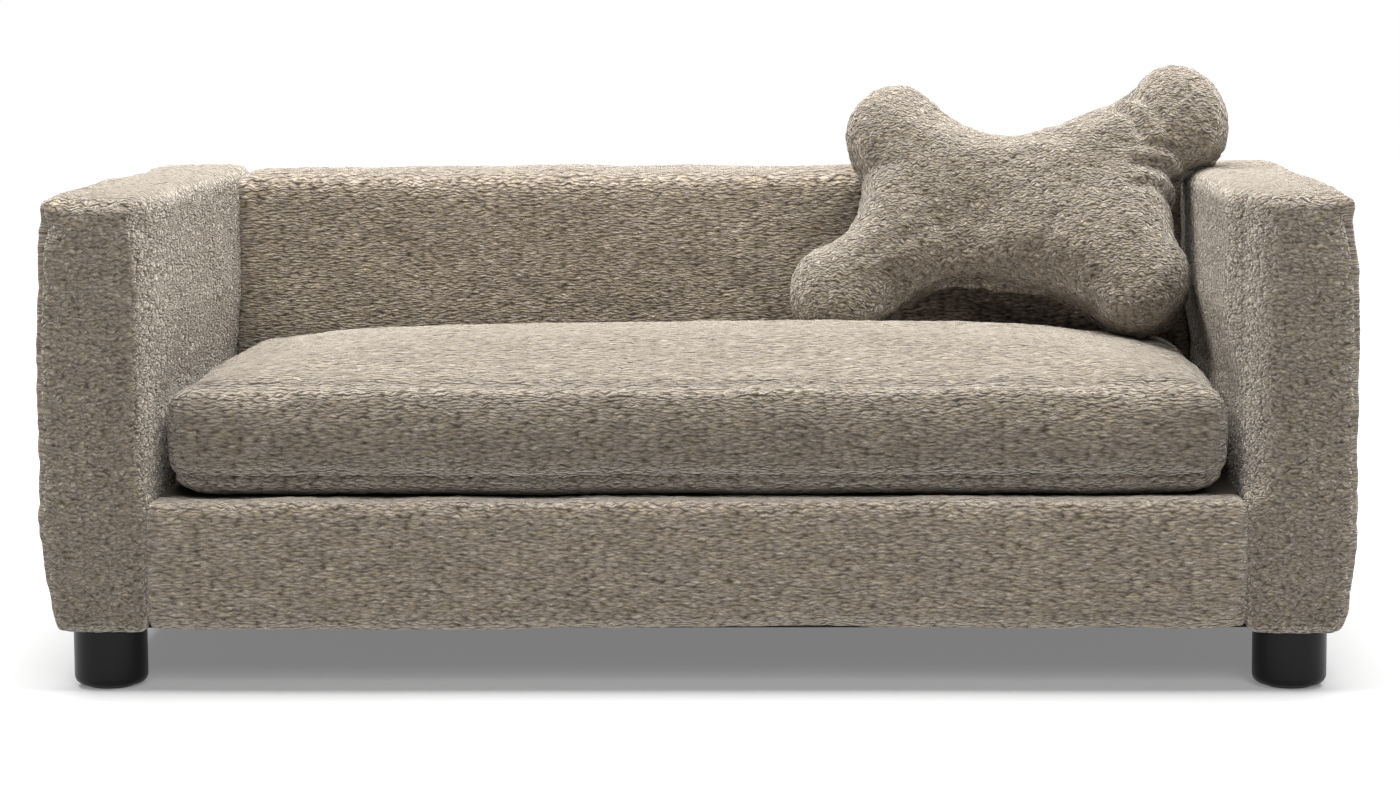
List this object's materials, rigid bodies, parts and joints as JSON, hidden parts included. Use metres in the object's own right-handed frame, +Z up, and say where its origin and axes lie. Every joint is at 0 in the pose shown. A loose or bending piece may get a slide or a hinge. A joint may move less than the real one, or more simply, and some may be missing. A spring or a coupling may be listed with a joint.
{
  "type": "dog sofa bed",
  "caption": "Small upholstered box-arm sofa for a dog, on turned legs, with a loose boxed seat cushion and a bone-shaped pillow.",
  "frame": {"origin": "on the floor, under the middle of the sofa's footprint", "axes": "+X left to right seen from the front, +Y from the front to the back, +Z up"},
  "size_m": [0.9, 0.48, 0.42],
  "materials": {
    "chenille": "taupe looped chenille",
    "deck_cloth": "plain brown cloth",
    "dust_cloth": "black non-woven cloth",
    "foam": "open-cell foam",
    "fibre": "polyester fibre",
    "pine": "planed softwood",
    "plywood": "raw plywood",
    "hardboard": "raw hardboard",
    "leg_black": "black satin",
    "glide_plastic": "moulded",
    "zinc_steel": "zinc plated",
    "zip_tape": "woven tape and nylon coil",
    "zip_metal": "enamelled die casting"
  },
  "bodies": {
    "sofa": {"arm_bottom_rail_left": "pine", "arm_bottom_rail_right": "pine", "arm_cover_left": "chenille", "arm_cover_right": "chenille", "arm_inner_skin_left": "hardboard", "arm_inner_skin_right": "hardboard", "arm_outer_skin_left": "hardboard", "arm_outer_skin_right": "hardboard", "arm_pad_left": "foam", "arm_pad_right": "foam", "arm_post_front_left": "pine", "arm_post_front_right": "pine", "arm_post_rear_left": "pine", "arm_post_rear_right": "pine", "arm_top_rail_left": "pine", "arm_top_rail_right": "pine", "back_bottom_rail": "pine", "back_centre_stile": "pine", "back_cover": "chenille", "back_front_skin": "hardboard", "back_pad": "foam", "back_rear_skin": "hardboard", "back_top_rail": "pine", "corner_block_front_left": "pine", "corner_block_front_right": "pine", "corner_block_rear_left": "pine", "corner_block_rear_right": "pine", "deck_board": "plywood", "deck_cloth": "deck_cloth", "deck_pad": "foam", "deck_slat_1": "pine", "deck_slat_2": "pine", "deck_slat_3": "pine", "dust_cloth": "dust_cloth", "frame_screws": "zinc_steel", "front_batten": "pine", "front_board": "pine", "front_cover": "chenille", "front_pad": "foam", "glide_front_left": "glide_plastic", "glide_front_right": "glide_plastic", "glide_rear_left": "glide_plastic", "glide_rear_right": "glide_plastic", "hanger_bolts": "zinc_steel", "leg_front_left": "leg_black", "leg_front_right": "leg_black", "leg_rear_left": "leg_black", "leg_rear_right": "leg_black", "rear_batten": "pine", "staples": "zinc_steel", "t_nuts": "zinc_steel", "wood_screws": "zinc_steel"},
    "cushion": {"cushion_core": "foam", "cushion_cover": "chenille", "zip_tape": "zip_tape"},
    "zip_slider": {"zip_slider": "zip_metal"},
    "zip_pull": {"zip_pull": "zip_metal"},
    "pillow": {"pillow_cover": "chenille", "pillow_fill": "fibre"}
  },
  "joints": [
    {"name": "cushion_lift", "type": "slide", "parent": "sofa", "child": "cushion", "axis": [0, 0, 1], "range_m": [0, 0.24]},
    {"name": "pillow_lift", "type": "slide", "parent": "cushion", "child": "pillow", "axis": [0, 0, 1], "range_m": [0, 0.15]},
    {"name": "zip_slide", "type": "slide", "parent": "cushion", "child": "zip_slider", "axis": [1, 0, 0], "range_m": [0, 0.544]},
    {"name": "pull_swivel", "type": "hinge", "parent": "zip_slider", "child": "zip_pull", "pos_m": [-0.27242, 0.1405, 0.171], "axis": [0, 1, 0], "range_deg": [-90, 90]}
  ]
}
